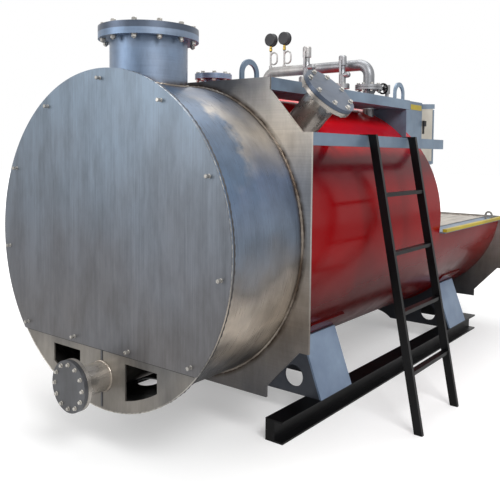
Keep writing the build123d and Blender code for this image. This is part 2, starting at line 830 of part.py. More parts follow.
with BuildPart() as side_blind:
    with BuildSketch(side_plane.offset(side_blind_at)):
        Circle(side_flange_r)
        with PolarLocations(side_pcd / 2, side_holes, side_turn):
            Circle(side_hole_r, mode=Mode.SUBTRACT)
    extrude(amount=side_flange_thick)
    with BuildSketch(side_plane.offset(side_blind_at - gasket)):
        Circle(side_pcd / 2 - 2 * side_hole_r)
    extrude(amount=gasket)
save(side_blind, "side_blind")

# Inspection hatch on the crown
with BuildPart() as hatch_nozzle:
    with BuildSketch(level(hatch_along, 0, 0)):
        Circle(hatch_r)
        Circle(hatch_r - hatch_wall, mode=Mode.SUBTRACT)
    extrude(amount=hatch_flange_up)
    with BuildSketch(level(hatch_along, 0, hatch_flange_up)):
        Circle(hatch_flange_r)
        Circle(hatch_r - hatch_wall, mode=Mode.SUBTRACT)
        with PolarLocations(hatch_pcd / 2, hatch_holes):
            Circle(hatch_hole_r, mode=Mode.SUBTRACT)
    extrude(amount=hatch_flange_thick)
    with BuildSketch(cross(shell_start)):
        Circle(shell_r)
    extrude(amount=shell_end - shell_start, mode=Mode.SUBTRACT)
save(hatch_nozzle, "hatch_nozzle")

with BuildPart() as hatch_blind:
    with BuildSketch(level(hatch_along, 0, hatch_flange_up + hatch_flange_thick)):
        Circle(hatch_flange_r)
        with PolarLocations(hatch_pcd / 2, hatch_holes):
            Circle(hatch_hole_r, mode=Mode.SUBTRACT)
    extrude(amount=hatch_flange_thick)
save(hatch_blind, "hatch_blind")

# Steam nozzle and the steam pipe over the crown
with BuildPart() as steam_nozzle:
    with BuildSketch(level(steam_along, -steam_y, 0)):
        Circle(steam_r)
        Circle(steam_r - steam_wall, mode=Mode.SUBTRACT)
    extrude(amount=steam_flange_up)
    with BuildSketch(level(steam_along, -steam_y, steam_flange_up)):
        Circle(steam_flange_r)
        Circle(steam_r - steam_wall, mode=Mode.SUBTRACT)
        with PolarLocations(steam_pcd / 2, steam_holes):
            Circle(steam_hole_r, mode=Mode.SUBTRACT)
    extrude(amount=steam_flange_thick)
    with BuildSketch(cross(shell_start)):
        Circle(shell_r)
    extrude(amount=shell_end - shell_start, mode=Mode.SUBTRACT)
save(steam_nozzle, "steam_nozzle")

steam_pipe_up = steam_flange_up + steam_flange_thick + gasket
with BuildLine(cross(steam_along)) as steam_route:
    FilletPolyline((-steam_y, steam_pipe_up), (-steam_y, steam_up), (steam_far, steam_up),
                   (steam_far, steam_end_up), radius=steam_bend)
with BuildPart() as steam_pipe:
    with BuildSketch(level(steam_along, -steam_y, steam_pipe_up)):
        Circle(steam_r)
    sweep(path=steam_route.line)
    with BuildSketch(level(steam_along, 0, steam_up)):
        with Locations((0, gauge_rear_y), (0, gauge_front_y)):
            Circle(boss_r)
    extrude(amount=boss_up - steam_up)
    for flange_y, flange_up in ((-steam_y, steam_pipe_up), (steam_far, steam_end_up)):
        with BuildSketch(level(steam_along, flange_y, flange_up)):
            Circle(steam_flange_r)
            with PolarLocations(steam_pcd / 2, steam_holes):
                Circle(steam_hole_r, mode=Mode.SUBTRACT)
        extrude(amount=steam_flange_thick)
    with BuildSketch(level(steam_along, -steam_y, steam_pipe_up)):
        Circle(steam_r - steam_wall)
    sweep(path=steam_route.line, mode=Mode.SUBTRACT)
save(steam_pipe, "steam_pipe")

with BuildPart() as steam_gasket:
    with BuildSketch(level(steam_along, -steam_y, steam_flange_up + steam_flange_thick)):
        Circle(steam_pcd / 2 - 2 * steam_hole_r)
        Circle(steam_r - steam_wall, mode=Mode.SUBTRACT)
    extrude(amount=gasket)
save(steam_gasket, "steam_gasket")

# Safety valves on their stubs: turned body with a closed cap, plugged side outlet and lifting lever
valve_places = (channel_end - valve_rear_back, channel_end - valve_front_back)
valve_seat_up = valve_base_up + valve_flange_thick
valve_neck_up = valve_seat_up + valve_flange_thick
outlet_up = valve_neck_up + outlet_rise
valve_body_top = outlet_up + outlet_to_shoulder
valve_cap_low = valve_body_top + valve_shoulder + valve_collar
valve_cap_top = valve_cap_low + valve_cap_height
with BuildPart() as valve_stubs:
    for valve_along in valve_places:
        with BuildSketch(level(valve_along, -valve_y, 0)):
            Circle(valve_stub_r)
        extrude(amount=valve_base_up)
        with BuildSketch(level(valve_along, -valve_y, valve_base_up)):
            Circle(valve_flange_r)
        extrude(amount=valve_flange_thick)
    with BuildSketch(cross(shell_start)):
        Circle(shell_r)
    extrude(amount=shell_end - shell_start, mode=Mode.SUBTRACT)
save(valve_stubs, "valve_stubs")

with BuildPart() as safety_valves:
    for valve_along in valve_places:
        valve_plane = Plane(origin=spot(valve_along, -valve_y, 0), x_dir=(1, 0, 0), z_dir=(0, -1, 0))
        with BuildSketch(valve_plane):
            with BuildLine():
                Polyline((0, valve_seat_up), (valve_flange_r, valve_seat_up),
                         (valve_flange_r, valve_neck_up),
                         (valve_body_r, valve_neck_up), (valve_body_r, valve_body_top),
                         (valve_waist_r, valve_body_top + valve_shoulder), (valve_waist_r, valve_cap_low),
                         (valve_cap_r, valve_cap_low), (valve_cap_r, valve_cap_top - valve_cap_round))
                CenterArc((valve_cap_r - valve_cap_round, valve_cap_top - valve_cap_round),
                          valve_cap_round, 0, 90)
                Polyline((valve_cap_r - valve_cap_round, valve_cap_top), (0, valve_cap_top),
                         (0, valve_seat_up))
            make_face()
        revolve(axis=Axis(valve_plane.origin, (0, 0, 1)))
        outlet_foot = spot(valve_along, -valve_y, outlet_up)
        with BuildSketch(Plane(origin=outlet_foot, x_dir=(0, -1, 0), z_dir=(0, 0, 1))):
            with BuildLine():
                Polyline((outlet_reach, 0), (0, 0), (0, outlet_r), (outlet_reach - outlet_r, outlet_r))
                CenterArc((outlet_reach - outlet_r, 0), outlet_r, 0, 90)
            make_face()
        revolve(axis=Axis(spot(valve_along, -valve_y, outlet_up), (0, -1, 0)))
        with BuildSketch(level(valve_along - valve_cap_r, -valve_y, outlet_up)):
            with Locations((-lever_gap, 0)):
                Rectangle(lever_thick, lever_width)
        extrude(amount=valve_cap_top - valve_cap_height / 2 - outlet_up)
        with BuildSketch(level(valve_along, -valve_y, valve_cap_low)):
            with Locations((-(valve_cap_r + lever_gap + lever_thick / 2) / 2, 0)):
                Rectangle(valve_cap_r + lever_gap + lever_thick / 2, lever_width)
        extrude(amount=lever_thick)
save(safety_valves, "safety_valves")

# Pressure gauges, their dials to the front, each on a siphon tube
with BuildPart() as pressure_gauges:
    for gauge_y in (gauge_rear_y, gauge_front_y):
        gauge_back = steam_along - gauge_thick / 2
        gauge_axis = Axis(spot(gauge_back, gauge_y, gauge_up), (1, 0, 0))
        with BuildSketch(Plane(origin=gauge_axis.position, x_dir=(1, 0, 0), z_dir=(0, -1, 0))):
            with BuildLine():
                Polyline((0, 0), (0, gauge_r - gauge_round))
                CenterArc((gauge_round, gauge_r - gauge_round), gauge_round, 90, 90)
                Polyline((gauge_round, gauge_r), (gauge_thick - gauge_rim, gauge_r),
                         (gauge_thick - gauge_rim, gauge_r + gauge_rim_over),
                         (gauge_thick, gauge_r + gauge_rim_over),
                         (gauge_thick, gauge_r - gauge_rim), (gauge_thick - gauge_rim, gauge_r - gauge_rim),
                         (gauge_thick - gauge_rim, 0), (0, 0))
            make_face()
        revolve(axis=gauge_axis)
        with BuildSketch(level(steam_along, gauge_y, gauge_neck_low)):
            Circle(gauge_neck_r)
        extrude(amount=gauge_up - gauge_r + gauge_round - gauge_neck_low)
save(pressure_gauges, "pressure_gauges")

with BuildPart() as gauge_siphons:
    for gauge_y in (gauge_rear_y, gauge_front_y):
        with BuildSketch(level(steam_along, gauge_y, boss_up)):
            Circle(stem_r)
        extrude(amount=gauge_neck_low - boss_up)
        with BuildLine(Plane(origin=spot(steam_along, gauge_y, siphon_up), x_dir=(0, 1, 0),
                             z_dir=(1, 0, 0))) as siphon_loop:
            Line((0, -siphon_straight / 2), (0, siphon_straight / 2))
            CenterArc((-siphon_r, siphon_straight / 2), siphon_r, 0, 180)
            Line((-2 * siphon_r, siphon_straight / 2), (-2 * siphon_r, -siphon_straight / 2))
            CenterArc((-siphon_r, -siphon_straight / 2), siphon_r, 180, 180)
        with BuildSketch(level(steam_along, gauge_y, siphon_up)):
            with Locations((0, -2 * siphon_r)):
                Circle(siphon_tube_r)
        sweep(path=siphon_loop.wires()[0])
save(gauge_siphons, "gauge_siphons")

# Stop valve behind the steam flange, its handwheel on a level spindle
stop_body_along = stop_along + stop_reach
bonnet_end = stop_along + wheel_hub_half + bonnet_gap
with BuildPart() as stop_valve:
    with BuildSketch(level(stop_body_along, -stop_y, 0)):
        Circle(stop_pipe_r)
    extrude(amount=stop_up)
    with BuildSketch(level(stop_body_along, -stop_y, stop_up - stop_body_half)):
        Circle(stop_body_r)
    extrude(amount=2 * stop_body_half)
    with BuildSketch(cross(bonnet_end)):
        with Locations((-stop_y, stop_up)):
            Circle(bonnet_r)
    extrude(amount=stop_body_along - bonnet_end)
    with BuildSketch(cross(stop_along - wheel_hub_half - spindle_end)):
        with Locations((-stop_y, stop_up)):
            Circle(spindle_r)
    extrude(amount=bonnet_end - stop_along + wheel_hub_half + spindle_end)
    with BuildSketch(cross(shell_start)):
        Circle(shell_r)
    extrude(amount=shell_end - shell_start, mode=Mode.SUBTRACT)
save(stop_valve, "stop_valve")

with BuildPart() as handwheel:
    with BuildSketch(cross(stop_along - wheel_hub_half)):
        with Locations((-stop_y, stop_up)):
            Circle(wheel_hub_r)
    extrude(amount=2 * wheel_hub_half)
    wheel_plane = Plane(origin=spot(stop_along, -stop_y, stop_up), x_dir=(0, 1, 0), z_dir=(1, 0, 0))
    with BuildSketch(Plane(origin=spot(stop_along, -stop_y, stop_up), x_dir=(0, 1, 0), z_dir=(0, 0, 1))):
        with Locations((wheel_r, 0)):
            Circle(wheel_rim_r)
    revolve(axis=Axis(wheel_plane.origin, (1, 0, 0)))
    for spoke in range(wheel_spokes):
        angle = 2 * math.pi * (spoke + 0.5) / wheel_spokes
        spoke_way = (0, math.cos(angle), math.sin(angle))
        with BuildSketch(Plane(origin=wheel_plane.origin, x_dir=(1, 0, 0), z_dir=spoke_way)):
            Circle(spoke_r)
        extrude(amount=wheel_r)
    with BuildSketch(cross(stop_along - wheel_hub_half)):
        with Locations((-stop_y, stop_up)):
            Circle(spindle_r + fit_gap)
    extrude(amount=2 * wheel_hub_half, mode=Mode.SUBTRACT)
save(handwheel, "handwheel")

# Lifting lugs, inverted U plates: two on the shell, two on the channels
with BuildPart() as lifting_lugs:
    for lug_at, lug_y, foot_up in ((lug_rear_at, -lug_rear_y, 0), (lug_rear_at, lug_rear_y, 0),
                                   (channel_end - lug_front_back, -lug_front_y, plate_top_up),
                                   (channel_end - lug_front_far_back, lug_front_y, plate_top_up)):
        with BuildSketch(side(lug_y - lug_thick / 2)):
            arch_up = lug_top - lug_width / 2
            with Locations((lug_at + lug_width / 2, arch_up)):
                Circle(lug_width / 2)
            with Locations((lug_at + lug_width / 2, (foot_up + arch_up) / 2)):
                Rectangle(lug_width, arch_up - foot_up)
                Rectangle(lug_width - 2 * lug_band, arch_up - foot_up, mode=Mode.SUBTRACT)
            with Locations((lug_at + lug_width / 2, arch_up)):
                Circle(lug_width / 2 - lug_band, mode=Mode.SUBTRACT)
            with Locations((lug_at + lug_width / 2, foot_up - lug_width / 2)):
                Rectangle(lug_width, lug_width, mode=Mode.SUBTRACT)
        extrude(amount=-lug_thick)
    with BuildSketch(cross(shell_start)):
        Circle(shell_r)
    extrude(amount=shell_end - shell_start, mode=Mode.SUBTRACT)
save(lifting_lugs, "lifting_lugs")
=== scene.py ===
"""Looks of the horizontal fire-tube boiler: camera, light, materials, bolts, welds and small fittings."""
import math

import bmesh
import bpy
from mathutils import Matrix, Vector


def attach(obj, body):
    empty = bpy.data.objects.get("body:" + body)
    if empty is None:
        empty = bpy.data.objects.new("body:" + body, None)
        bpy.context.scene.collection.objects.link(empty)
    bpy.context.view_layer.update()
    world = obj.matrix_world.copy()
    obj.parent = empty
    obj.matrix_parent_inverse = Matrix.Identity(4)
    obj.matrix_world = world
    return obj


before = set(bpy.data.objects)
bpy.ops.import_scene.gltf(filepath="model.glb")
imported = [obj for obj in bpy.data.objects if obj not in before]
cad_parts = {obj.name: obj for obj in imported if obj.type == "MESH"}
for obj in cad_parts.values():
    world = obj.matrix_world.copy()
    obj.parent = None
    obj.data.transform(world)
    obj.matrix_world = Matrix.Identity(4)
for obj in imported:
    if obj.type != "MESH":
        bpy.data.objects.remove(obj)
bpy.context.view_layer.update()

# Reference lines shared with the solids, in metres: the rear cover, the middle plane and the drum's axis
REAR_X = -1.661
AXIS_Y = 0.17325
AXIS_Z = 1.0
X = Vector((1, 0, 0))
Y = Vector((0, 1, 0))
Z = Vector((0, 0, 1))


def spot(along, across, up):
    """A point given in millimetres from the rear cover, the middle plane and the drum's axis."""
    return Vector((REAR_X + along / 1000, AXIS_Y + across / 1000, AXIS_Z + up / 1000))


# Camera at the photograph's angle
FOCAL_PX = 643.115
IMAGE_PX = 500
CENTRE_PX = (276.85, 188.50)
SENSOR_MM = 36
CAMERA_SPOT = (-1910, -2425, 420)
YAW = math.radians(36.379)
PITCH = math.radians(3.157)
ROLL = math.radians(0.717)
forward = Vector((math.cos(YAW) * math.cos(PITCH), math.sin(YAW) * math.cos(PITCH), -math.sin(PITCH)))
level_right = Vector((math.sin(YAW), -math.cos(YAW), 0))
level_up = level_right.cross(forward)
right = math.cos(ROLL) * level_right + math.sin(ROLL) * level_up
up = -math.sin(ROLL) * level_right + math.cos(ROLL) * level_up
camera_data = bpy.data.cameras.new("camera")
camera_data.sensor_fit = "HORIZONTAL"
camera_data.sensor_width = SENSOR_MM
camera_data.lens = FOCAL_PX / IMAGE_PX * SENSOR_MM
camera_data.shift_x = (IMAGE_PX / 2 - CENTRE_PX[0]) / IMAGE_PX
camera_data.shift_y = (CENTRE_PX[1] - IMAGE_PX / 2) / IMAGE_PX
camera = bpy.data.objects.new("camera", camera_data)
bpy.context.scene.collection.objects.link(camera)
turn = Matrix((right, up, -forward)).transposed()
camera.matrix_world = Matrix.Translation(spot(*CAMERA_SPOT)) @ turn.to_4x4()
bpy.context.scene.camera = camera
bpy.context.scene.view_settings.view_transform = "Standard"


# Materials
def linear(red, green, blue):
    """Colour written as 0-255 screen values, as linear light."""
    return tuple(((value / 255 + 0.055) / 1.055) ** 2.4 if value > 10 else value / 255 / 12.92
                 for value in (red, green, blue)) + (1,)


class Nodes:
    """Short names for building one node tree round its main shader."""

    def __init__(self, owner, shader="Principled BSDF"):
        owner.use_nodes = True
        self.owner = owner
        self.tree = owner.node_tree
        self.shader = self.tree.nodes[shader]

    def add(self, kind, **inputs):
        node = self.tree.nodes.new(kind)
        for key, value in inputs.items():
            self.put(node.inputs[key.replace("_", " ")], value)
        return node

    def put(self, socket, value):
        if hasattr(value, "is_output"):
            self.tree.links.new(value, socket)
        else:
            socket.default_value = value

    def math(self, operation, first, second=0.0):
        node = self.tree.nodes.new("ShaderNodeMath")
        node.operation = operation
        self.put(node.inputs[0], first)
        self.put(node.inputs[1], second)
        return node.outputs[0]

    def place(self):
        return self.tree.nodes.new("ShaderNodeTexCoord").outputs["Object"]

    def parts(self, vector):
        return self.add("ShaderNodeSeparateXYZ", Vector=vector).outputs

    def stretch(self, vector, scale):
        node = self.add("ShaderNodeMapping", Vector=vector)
        node.inputs["Scale"].default_value = scale
        return node.outputs["Vector"]

    def noise(self, vector, scale, detail=3.0, rough=0.5):
        node = self.add("ShaderNodeTexNoise", Vector=vector, Scale=scale, Detail=detail, Roughness=rough)
        return node.outputs["Fac"]

    def drift(self, noise, reach):
        """A noise turned into a shift round zero."""
        return self.math("MULTIPLY", self.math("SUBTRACT", noise, 0.5), reach)

    def ramp(self, factor, *stops):
        """Colour ramp from (position, colour) stops, with colours in linear light."""
        node = self.add("ShaderNodeValToRGB", Fac=factor)
        band = node.color_ramp
        while len(band.elements) < len(stops):
            band.elements.new(0.5)
        for element, (position, colour) in zip(band.elements, stops):
            element.position = position
            element.color = (*colour, 1) if len(colour) == 3 else colour
        return node.outputs["Color"]

    def mix(self, factor, first, second, blend="MIX"):
        node = self.tree.nodes.new("ShaderNodeMix")
        node.data_type = "RGBA"
        node.blend_type = blend
        self.put(node.inputs["Factor"], factor)
        self.put(node.inputs["A"], first)
        self.put(node.inputs["B"], second)
        return node.outputs["Result"]

    def span(self, factor, low, high, to_low, to_high):
        node = self.tree.nodes.new("ShaderNodeMapRange")
        self.put(node.inputs["Value"], factor)
        for key, value in (("From Min", low), ("From Max", high), ("To Min", to_low), ("To Max", to_high)):
            node.inputs[key].default_value = value
        return node.outputs["Result"]

    def paint_light_by_height(self, colour, height, shift, painted_light_bands, share):
        """Paint light, shade and reflections into a colour by height; the bands are (position, screen colour)
        stops from foot to crown.
        """
        level = self.math("ADD", self.span(height, -BAND_REACH, BAND_REACH, 0.0, 1.0), shift)
        stops = [(position, linear(*tone)) for position, tone in painted_light_bands]
        return self.mix(share, colour, self.ramp(level, *stops))

    def uneven(self, noise, rough):
        """Roughness that follows a noise a little."""
        return self.span(noise, 0.3, 0.7, rough - 0.05, rough + 0.07)

    def bump(self, height, strength, distance):
        node = self.add("ShaderNodeBump", Height=height, Strength=strength, Distance=distance)
        self.tree.links.new(node.outputs["Normal"], self.shader.inputs["Normal"])

    def set(self, **inputs):
        for key, value in inputs.items():
            self.put(self.shader.inputs[key.replace("_", " ")], value)


# Metres from the drum's axis to the foot and the crown of the painted light bands
BAND_REACH = 0.8
# Painted sky reflection on the drum, a cooler patch: from full to none along x, and from none to full in
# height over the axis
PATCH_END = (REAR_X + 0.2, REAR_X + 0.3)
PATCH_FOOT = (0.1, 0.3)
# Heat tint beside a weld: from full to none, in metres from the weld's line
HEAT_FADE = (0.006, 0.026)
HEAT_BROWN = (64, 52, 42)


def heat_distance(n, position, height, weld_line):
    """Distance in metres from a ring weld.

    weld_line is ("along", place) for a ring at that place or ("radius", size) for one of that radius, both in
    millimetres.
    """
    kind, centre = weld_line
    if kind == "along":
        away = n.math("SUBTRACT", position[0], spot(centre, 0, 0).x)
    else:
        across = n.math("SUBTRACT", position[1], AXIS_Y)
        squares = n.math("ADD", n.math("MULTIPLY", across, across), n.math("MULTIPLY", height, height))
        away = n.math("SUBTRACT", n.math("SQRT", squares), centre / 1000)
    return n.math("ABSOLUTE", away)


def brushed(name, dark, light, grain, metallic=0.7, rough=0.38, streaks=0.25, around=False, painted_light_bands=None,
            heat=None, sky_reflection_colour=None):
    """Brushed sheet: grain lines, soft cloudy stains and slightly uneven gloss.

    grain is how closely the lines lie along x, y and z, or, with around, along x and round the drum's axis.
    The height bands paint light, shade and reflections into the sheet. heat is the weld_line of the weld that
    left its brown tint beside it. The cooler colour paints a sky reflection as a patch near the cover, above
    the axis.
    Colours are 0-255 screen values.
    """
    n = Nodes(bpy.data.materials.new(name))
    place = n.place()
    position = n.parts(place)
    height = n.math("SUBTRACT", position[2], AXIS_Z)
    if around:
        angle = n.math("ARCTAN2", n.math("SUBTRACT", position[1], AXIS_Y), height)
        lines = n.stretch(n.add("ShaderNodeCombineXYZ", X=position[0], Y=angle, Z=0.0).outputs[0], grain)
    else:
        lines = n.stretch(place, grain)
    streak = n.noise(lines, scale=1.0, detail=4.0, rough=0.6)
    cloud = n.noise(place, scale=2.2)
    colour = n.ramp(cloud, (0.38, linear(*dark)), (0.62, linear(*light)))
    if painted_light_bands:
        colour = n.paint_light_by_height(colour, height, n.drift(cloud, 0.35), painted_light_bands, share=0.8)
    if sky_reflection_colour:
        ragged = n.drift(n.noise(place, scale=5.0, detail=5.0, rough=0.62), 0.6)
        near_cover = n.span(n.math("ADD", position[0], ragged), *PATCH_END, 0.9, 0.0)
        sky_reflection_mask = n.math("MULTIPLY", near_cover, n.span(height, *PATCH_FOOT, 0.0, 1.0))
        colour = n.mix(sky_reflection_mask, colour, linear(*sky_reflection_colour))
    dim = n.ramp(streak, (0.3, (1 - streaks, 1 - streaks, 1 - streaks)), (0.7, (1, 1, 1)))
    colour = n.mix(1.0, colour, dim, "MULTIPLY")
    stain = n.noise(n.stretch(place, (6.0, 9.0, 2.6)), scale=1.0, detail=6.0, rough=0.68)
    colour = n.mix(1.0, colour, n.ramp(stain, (0.36, (0.76, 0.75, 0.74)), (0.6, (1, 1, 1))), "MULTIPLY")
    if heat:
        tint = n.span(heat_distance(n, position, height, heat), *HEAT_FADE, 1.0, 0.0)
        tint = n.math("MULTIPLY", tint, n.span(n.noise(place, scale=14.0), 0.3, 0.6, 0.25, 0.95))
        colour = n.mix(tint, colour, linear(*HEAT_BROWN))
    n.set(Base_Color=colour, Metallic=metallic, Roughness=n.uneven(streak, rough))
    n.bump(n.noise(lines, scale=5.0, detail=2.0, rough=0.6), strength=0.06, distance=0.0005)
    return n.owner


def galvanised(name, light, dark):
    """Galvanised plate with its crystal pattern."""
    n = Nodes(bpy.data.materials.new(name))
    place = n.place()
    crystals = n.add("ShaderNodeTexVoronoi", Vector=place, Scale=38.0).outputs["Color"]
    crystal_tone = n.parts(crystals)[0]
    cloud = n.noise(place, scale=3.0, detail=4.0, rough=0.55)
    colour = n.ramp(cloud, (0.35, linear(*dark)), (0.65, linear(*light)))
    crystal_dim = n.ramp(crystal_tone, (0.0, (0.72, 0.74, 0.78)), (1.0, (1, 1, 1)))
    colour = n.mix(0.35, colour, crystal_dim, "MULTIPLY")
    n.set(Base_Color=colour, Metallic=0.35, Roughness=n.span(crystal_tone, 0.0, 1.0, 0.34, 0.5))
    n.bump(n.noise(place, scale=60.0), strength=0.08, distance=0.0008)
    return n.owner


def painted(name, light, dark, rough=0.4, cloud_scale=3.0, painted_light_bands=None, gloss=0.5):
    """Painted metal with faint orange peel and uneven tone; height bands paint light, shade and reflections
    into it as in brushed.
    """
    n = Nodes(bpy.data.materials.new(name))
    place = n.place()
    cloud = n.noise(place, cloud_scale, detail=4.0, rough=0.55)
    colour = n.ramp(cloud, (0.35, linear(*dark)), (0.65, linear(*light)))
    if painted_light_bands:
        height = n.math("SUBTRACT", n.parts(place)[2], AXIS_Z)
        colour = n.paint_light_by_height(colour, height, n.drift(cloud, 0.25), painted_light_bands, share=0.85)
    n.set(Base_Color=colour, Metallic=0.0, Specular_IOR_Level=gloss,
          Roughness=n.uneven(n.noise(place, scale=9.0), rough))
    n.bump(n.noise(place, scale=140.0), strength=0.05, distance=0.0006)
    return n.owner


# Grain of the flat sheets: upright lines on the covers, level lines on the frame plates
COVER_GRAIN = (1.0, 170.0, 2.6)
PLATE_GRAIN = (1.0, 3.0, 150.0)
# Grain of welds and bolts, as fine in every direction
SPECKLE = (60.0, 60.0, 60.0)
# Places of the ring welds that leave a heat tint: on the drum, on the rear frame plate and the flue neck, and
# at the foot of the side branch
DRUM_HEAT = ("along", 556)
PLATE_HEAT = ("radius", 764)
BRANCH_HEAT = ("radius", 752)

# Cover steel: its height bands paint a warmer reflection at the foot and a bluer sky reflection at the top
cover_steel = brushed("cover_steel", dark=(104, 110, 118), light=(124, 134, 146), grain=COVER_GRAIN,
                      streaks=0.2,
                      painted_light_bands=((0.05, (108, 102, 98)), (0.45, (118, 120, 126)), (0.9, (124, 140, 156))))
lower_steel = brushed("lower_steel", dark=(106, 105, 104), light=(146, 141, 134), grain=COVER_GRAIN,
                      rough=0.36, streaks=0.14)
# Drum steel: its height bands paint reflections, dark and bright rings with bluer sky tones higher up; the
# cooler patch near the cover is a painted sky reflection
drum_steel = brushed("drum_steel", dark=(120, 124, 132), light=(160, 158, 156), grain=(240.0, 3.0, 1.0),
                     rough=0.3, streaks=0.18, around=True,
                     painted_light_bands=((0.16, (4, 4, 4)), (0.27, (232, 216, 196)), (0.4, (124, 118, 112)),
                            (0.52, (106, 122, 142)), (0.66, (92, 112, 144)), (0.82, (196, 188, 178)),
                            (0.91, (98, 112, 136))),
                     heat=DRUM_HEAT, sky_reflection_colour=(92, 114, 140))
# Frame plate steel: its height bands paint light and shade, a dark foot, a bright reflection band higher up
# and a darker top
plate_look = {"dark": (124, 122, 120), "light": (158, 154, 150), "grain": PLATE_GRAIN, "rough": 0.36,
              "streaks": 0.14,
              "painted_light_bands": ((0.0, (84, 86, 92)), (0.25, (136, 126, 116)), (0.45, (196, 192, 188)),
                        (0.6, (200, 200, 200)), (0.8, (238, 228, 214)), (0.96, (108, 108, 110)))}
plate_steel = brushed("plate_steel", **plate_look)
welded_plate_steel = brushed("welded_plate_steel", **plate_look, heat=PLATE_HEAT)
pipe_steel = brushed("pipe_steel", dark=(150, 144, 138), light=(200, 194, 186), grain=(1.5, 14.0, 14.0),
                     metallic=0.8, rough=0.26, streaks=0.12, heat=BRANCH_HEAT)
steam_steel = brushed("steam_steel", dark=(140, 142, 146), light=(184, 182, 180), grain=(3.0, 3.0, 3.0),
                      streaks=0.08)
flue_steel = brushed("flue_steel", dark=(112, 132, 158), light=(146, 158, 176), grain=(3.0, 3.0, 90.0),
                     metallic=0.55, streaks=0.14, heat=PLATE_HEAT)
flange_steel = brushed("flange_steel", dark=(80, 80, 82), light=(100, 101, 104), grain=(9.0, 90.0, 9.0),
                       rough=0.34, streaks=0.12)
blind_steel = brushed("blind_steel", dark=(78, 88, 104), light=(98, 108, 124), grain=(9.0, 9.0, 60.0),
                      rough=0.36, streaks=0.12)
# Dark paint for joints and conduits, and for the painted shadow strip under the upper cover's edge
dark_seam_and_shadow = painted("dark_seam_and_shadow", light=(48, 46, 46), dark=(30, 28, 28), rough=0.5)
weld_steel = brushed("weld_steel", dark=(86, 72, 60), light=(190, 180, 168), grain=SPECKLE, rough=0.32)
bolt_steel = brushed("bolt_steel", dark=(170, 168, 164), light=(214, 210, 202), grain=SPECKLE, rough=0.28)
zinc_plate = galvanised("zinc_plate", light=(122, 140, 158), dark=(98, 114, 132))
# The saddle webs get darker copies of the galvanised zinc: painted shade, deepest on the front saddle
shaded_web_zinc = galvanised("shaded_web_zinc", light=(84, 88, 96), dark=(58, 62, 70))
deep_shaded_web_zinc = galvanised("deep_shaded_web_zinc", light=(32, 35, 42), dark=(20, 22, 28))
saddle_zinc = galvanised("saddle_zinc", light=(128, 146, 168), dark=(104, 120, 144))
# Red paint: its height bands paint shade at the foot and in a band under the side rail, a pinkish sky
# reflection and a lighter crown
red_paint = painted("red_paint", light=(158, 4, 10), dark=(128, 3, 8), rough=0.2, cloud_scale=1.2, gloss=0.1,
                    painted_light_bands=((0.0, (44, 2, 2)), (0.25, (60, 3, 3)), (0.45, (129, 6, 10)), (0.61, (118, 4, 10)),
                           (0.69, (76, 4, 14)), (0.75, (78, 4, 14)), (0.81, (156, 6, 12)),
                           (0.86, (182, 26, 44)), (0.92, (240, 8, 10))))
black_paint = painted("black_paint", light=(11, 11, 13), dark=(4, 4, 5), rough=0.36, gloss=0.22)
cream_paint = painted("cream_paint", light=(196, 190, 178), dark=(172, 166, 154), rough=0.45)
yellow_paint = painted("yellow_paint", light=(190, 168, 30), dark=(160, 140, 28), rough=0.45)
gauge_black = painted("gauge_black", light=(46, 47, 50), dark=(32, 33, 36), rough=0.5)
rubber_black = painted("rubber_black", light=(26, 26, 28), dark=(16, 16, 18), rough=0.7)
brass = brushed("brass_metal", dark=(140, 112, 48), light=(196, 166, 80), grain=(40.0, 40.0, 40.0),
                metallic=0.9, rough=0.3)
dial_white = painted("dial_white", light=(236, 236, 232), dark=(226, 226, 222), rough=0.5)
tread_paint = painted("tread_paint", light=(200, 192, 180), dark=(164, 158, 150), rough=0.5)

materials_by_node = {
    cover_steel: ("upper_cover",),
    lower_steel: ("lower_cover",),
    drum_steel: ("drum_shell", "drum_ring"),
    plate_steel: ("compartment_roof", "front_frame_plate"),
    welded_plate_steel: ("rear_frame_plate",),
    flange_steel: ("drain_blind",),
    blind_steel: ("flue_counter_flange", "side_blind"),
    flue_steel: ("flue_stub", "hatch_nozzle", "hatch_blind"),
    pipe_steel: ("side_nozzle", "drain_nozzle"),
    steam_steel: ("steam_nozzle", "steam_pipe", "valve_stubs", "safety_valves", "gauge_siphons",
                  "stop_valve"),
    zinc_plate: ("walkway_channels", "walkway_treads", "end_beams", "column_right", "column_left",
                 "side_rail_right", "side_rail_left", "cabinet_hood", "cabinet_hinges", "lifting_lugs",
                 "cabinet_door", "platform_deck"),
    bolt_steel: ("platform_eye",),
    saddle_zinc: ("rear_saddle_sides", "front_saddle_sides"),
    shaded_web_zinc: ("rear_saddle_webs",),
    deep_shaded_web_zinc: ("front_saddle_webs",),
    red_paint: ("shell_cladding", "shell_end_plate", "half_shell", "rear_saddle_pad", "front_saddle_pad"),
    black_paint: ("base_rail_right", "base_rail_left", "ladder_stile_left", "ladder_stile_right",
                  "ladder_rungs", "ladder_hooks", "handwheel"),
    cream_paint: ("cabinet_body",),
    yellow_paint: ("platform_edges",),
    tread_paint: ("platform_planks",),
    gauge_black: ("pressure_gauges",),
    rubber_black: ("steam_gasket",),
}
for material, names in materials_by_node.items():
    for name in names:
        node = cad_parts[name]
        node.data.materials.clear()
        node.data.materials.append(material)


# Small pieces
def finish_piece(name, mesh_builder, material, body="boiler", smooth=True):
    """Turn a bmesh into an object that rides on a body."""
    mesh = bpy.data.meshes.new(name)
    mesh_builder.normal_update()
    mesh_builder.to_mesh(mesh)
    mesh_builder.free()
    mesh.materials.append(material)
    if smooth:
        mesh.shade_smooth()
        mesh.set_sharp_from_angle(angle=math.radians(35))
    piece = bpy.data.objects.new(name, mesh)
    bpy.context.scene.collection.objects.link(piece)
    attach(piece, body)


